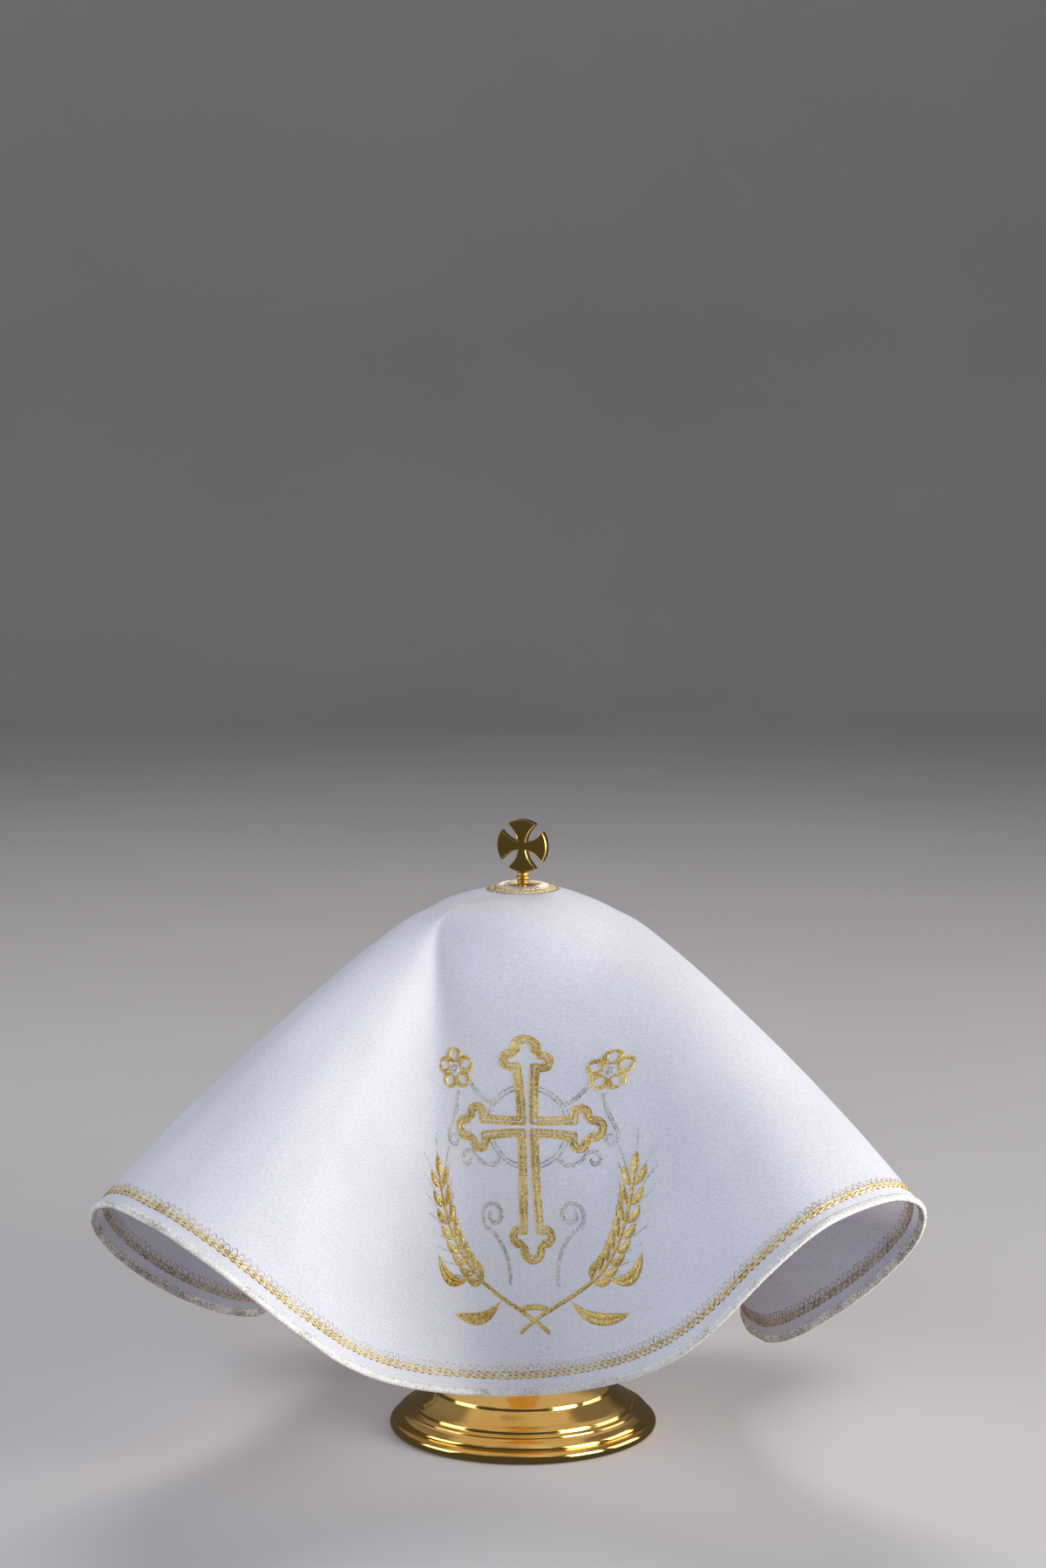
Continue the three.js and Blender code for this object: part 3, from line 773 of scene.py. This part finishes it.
def make_vessel():
    bead = [(57.4 + 2.6 * math.cos(math.radians(a)), 2.6 + 2.6 * math.sin(math.radians(a))) for a in range(-90, 91, 10)]
    foot = [(0, 0), (20, 0), (40, 0), *bead, (56.7, 5.05), (56.8, 5.5), *run([(57.2, 5.75), (56.9, 6.8), (56.0, 8.0), (54.6, 8.95), (53.0, 9.5)]),
            (52.7, 9.5), (52.6, 10.1), *run([(52.4, 10.35), (52.0, 10.45), (51.6, 10.35)]), (51.4, 10.05), (50.5, 10.1), (49.6, 10.4),
            (49.2, 11.9), *run([(48.9, 12.05), (46.4, 13.2), (44.0, 15.1), (42.0, 17.0), (40.6, 18.2)]), (40.2, 19.7),
            *run([(39.8, 19.85), (36.0, 21.0), (31.0, 22.4), (27.0, 23.6), (24.4, 24.9)]), (12, 24.9), (0, 24.9)]
    stem = [(0, 25.2), (12, 25.2), *run([(23.4, 25.2), (22.2, 26.6), (19.0, 29.8), (16.5, 33.6), (14.4, 38.5), (12.6, 44.2),
            (10.3, 56.0), (8.8, 66.0), (8.0, 82.0), (8.0, 114.5), (9.2, 128.5), (11.8, 137.5), (15.0, 142.5)]), (6, 142.5), (0, 142.5)]

    def bowl(radius, depth, floor):
        start = math.acos((188.5 - floor) / depth)
        a = start + (math.pi / 2 - start) * np.arange(25) / 24
        return list(zip(radius * np.sin(a), 188.5 - depth * np.cos(a)))
    cup = [(0, 142.8), (7, 142.8), *bowl(38.0, 49.7, 142.8), (38.1, 206.5), (38.3, 224.5),
           *reversed([*bowl(36.5, 48.2, 144.5), (36.6, 206.5), (36.8, 224.5)]), (7, 144.5), (0, 144.5)]
    shell = [(39.5, 226.7), (38.6, 228.7), (36.5, 231.4), (33.5, 234.4), (30.0, 237.1), (26.0, 239.4), (22.0, 241.3),
             (18.0, 242.6), (14.0, 243.7), (9.0, 245.2)]
    under = [(7.5, 243.7), *[(r - 1.5, z - 1.5) for r, z in reversed(shell[:-1])], (38.0, 224.8)]
    lid = [(0, 243.7), *run(under, 4), (39.5, 224.8), *run(shell, 4), (5, 245.2), (0, 245.2)]
    neck = [(0, 245.5), *run([(3.4, 245.5), (3.3, 245.9), (1.9, 246.4), (1.7, 247.2), (2.3, 247.6), (2.7, 248.3), (2.2, 249.1),
            (2.5, 249.5), (2.85, 250.4), (2.3, 251.3), (2.1, 251.6), (2.5, 251.9), (2.45, 252.5)], 5), (0, 252.5)]
    lathe("foot", softened(foot), 192, "ciborium_foot")
    lathe("stem", softened(stem), 96, "ciborium_stem")
    lathe("cup", softened(cup), 128, "ciborium_cup")
    lid_piece = lathe("lid", softened(lid), 128, "ciborium_lid")
    lathe("neck", softened(neck, 0.1), 64, "ciborium_neck").data.materials[0] = BRASS_EDGE
    return lid_piece


CROSS_RADIUS, CROSS_HEIGHT, CROSS_HALF, CROSS_BEVEL, CROSS_TURN = 11.8, 264.6, 1.8, 0.38, -23.0
CROSS_WAIST, CROSS_FLARE = 2.0, 34.0


def make_cross():
    """Plate cross with curved arms and a fine bevel on both faces."""
    outline = []
    for arm in range(4):
        a = -arm * math.pi / 2
        end = math.radians(CROSS_FLARE)
        tip = np.array((CROSS_RADIUS * math.sin(end), CROSS_RADIUS * math.cos(end)))
        corner, bend = np.array((CROSS_WAIST, CROSS_WAIST)), np.array((CROSS_WAIST * 1.15, CROSS_RADIUS * 0.5))
        side = curve(corner, bend, tip, count=15)
        rim = np.radians(np.linspace(90 + CROSS_FLARE, 90 - CROSS_FLARE, 21))[1:-1]
        shape = np.concatenate([side * (-1, 1), np.stack([np.cos(rim), np.sin(rim)], -1) * CROSS_RADIUS, side[::-1][:-1]])
        outline.append(shape @ np.array([[math.cos(a), math.sin(a)], [-math.sin(a), math.cos(a)]]))
    line = np.concatenate(outline)                    # clockwise, seen from the front
    n = len(line)
    before, after = np.roll(line, 1, 0), np.roll(line, -1, 0)
    u, v = line - before, after - line
    u /= np.linalg.norm(u, axis=1, keepdims=True)
    v /= np.linalg.norm(v, axis=1, keepdims=True)
    nu, nv = np.stack([u[:, 1], -u[:, 0]], -1), np.stack([v[:, 1], -v[:, 0]], -1)
    mitre = nu + nv
    mitre /= (mitre * nu).sum(1, keepdims=True)
    inset = line + np.clip(mitre, -2.2, 2.2) * CROSS_BEVEL
    flat_half = CROSS_HALF - CROSS_BEVEL
    layers = [(inset, -CROSS_HALF), (line, -flat_half), (line, flat_half), (inset, CROSS_HALF)]
    points = np.concatenate([np.stack([p[:, 0], np.full(n, y), p[:, 1]], -1) for p, y in layers])
    a = math.radians(CROSS_TURN)
    points = np.stack([points[:, 0] * math.cos(a) - points[:, 1] * math.sin(a),
                       points[:, 0] * math.sin(a) + points[:, 1] * math.cos(a), points[:, 2] + CROSS_HEIGHT], -1)
    faces = grid_faces(4, n, True).tolist() + [list(range(n))[::-1], [3 * n + i for i in range(n)]]
    piece = add_piece("finial_cross", points, faces, BRASS, "gilt_brass", ["ciborium_cross"], smooth=False)
    piece.data.materials.append(BRASS_EDGE)           # the bevels are rubbed, so they show as fine pale lines
    for face in [*piece.data.polygons[:n], *piece.data.polygons[2 * n:3 * n]]:
        face.material_index = 1
    mesh = bmesh.new()
    mesh.from_mesh(piece.data)
    bmesh.ops.triangulate(mesh, faces=[f for f in mesh.faces if len(f.verts) > 4])
    bmesh.ops.recalc_face_normals(mesh, faces=mesh.faces)
    mesh.to_mesh(piece.data)
    mesh.free()
    return piece


# ---------------------------------------------------------------- stage and light
def make_stage():
    """Pale floor that sweeps up into a low round backdrop."""
    profile = [(0.25 * i, 0.0) for i in range(1, 12)]
    profile += [(2.75 + 1.1 * math.sin(a), 1.1 - 1.1 * math.cos(a)) for a in np.radians(np.arange(7.5, 91, 7.5))] + [(3.85, 2.4)]
    sides = 96
    a = 2 * np.pi * np.arange(sides) / sides
    r, z = np.array(profile).T
    points = np.stack([np.outer(r, np.cos(a)), np.outer(r, np.sin(a)), np.repeat(z[:, None], sides, 1)], -1).reshape(-1, 3)
    faces = grid_faces(len(profile), sides, True).tolist()
    points = np.concatenate([points, [(0, 0, 0)]])
    faces += [[len(points) - 1, j, (j + 1) % sides] for j in range(sides)]
    mesh = bpy.data.meshes.new("floor")
    mesh.from_pydata(points.tolist(), [], faces)
    mesh.polygons.foreach_set("use_smooth", [True] * len(mesh.polygons))
    mesh.materials.append(floor_material())
    floor = bpy.data.objects.new("floor", mesh)
    floor.visible_glossy = False
    bpy.context.scene.collection.objects.link(floor)


LIGHT_COLUMNS = ("name", "azimuth", "distance", "height", "width", "tall", "watts", "colour")
LIGHTS = [
    ("panel_front", -6.0, 1.7, 0.62, 1.2, 0.9, 7.7, (0.81, 0.855, 1.0)),
    ("panel_left", -78.0, 1.5, 0.62, 0.9, 0.9, 8.1, (0.78, 0.84, 1.0)),
    ("panel_right", 55.0, 1.5, 0.46, 0.8, 0.8, 19.8, (1.0, 0.985, 0.985)),
    ("panel_side", 98.0, 1.5, 0.46, 0.9, 0.8, 7.5, (1.0, 0.985, 0.985)),
    ("panel_back", -176.0, 1.2, 2.0, 1.2, 0.9, 18.8, (1.0, 0.95, 0.98)),
]


def make_lights():
    for name, azimuth, distance, height, width, tall, watts, colour in LIGHTS:
        data = bpy.data.lights.new(name, "AREA")
        data.shape, data.size, data.size_y = "RECTANGLE", width, tall
        data.energy, data.color = watts, colour
        lamp = bpy.data.objects.new(name, data)
        a = math.radians(azimuth)
        lamp.location = (distance * math.sin(a), -distance * math.cos(a), height)
        down = math.atan2(height - 0.15, distance)
        lamp.rotation_euler = (math.pi / 2 - down, 0.0, a)
        lamp.visible_camera = False
        lamp.visible_glossy = name != "panel_front"      # a fill light that leaves no mark on the brass
        bpy.context.scene.collection.objects.link(lamp)
    world = bpy.data.worlds.new("studio")
    world.use_nodes = True
    world.node_tree.nodes["Background"].inputs["Color"].default_value = (0.95, 0.94, 1.0, 1.0)
    world.node_tree.nodes["Background"].inputs["Strength"].default_value = 0.07
    bpy.context.scene.world = world
    bpy.context.scene.view_settings.view_transform = "Standard"


# ---------------------------------------------------------------- build
lid_piece = make_vessel()
make_cross()
veil = make_veil()
trims = [
    make_edging("hem_edging", CLOTH_RADIUS, 1, 0.95, 11),
    *make_hem_stitches("hem_gold_stitches_outside", 1, 17),
    *make_hem_stitches("hem_gold_stitches_inside", -1, 19),
    make_edging("hole_edging", HOLE_RADIUS, -1, 0.9, 23, 1.4),
    *make_hole_stitches(),
    *make_embroidery(),
]
make_stage()
make_lights()
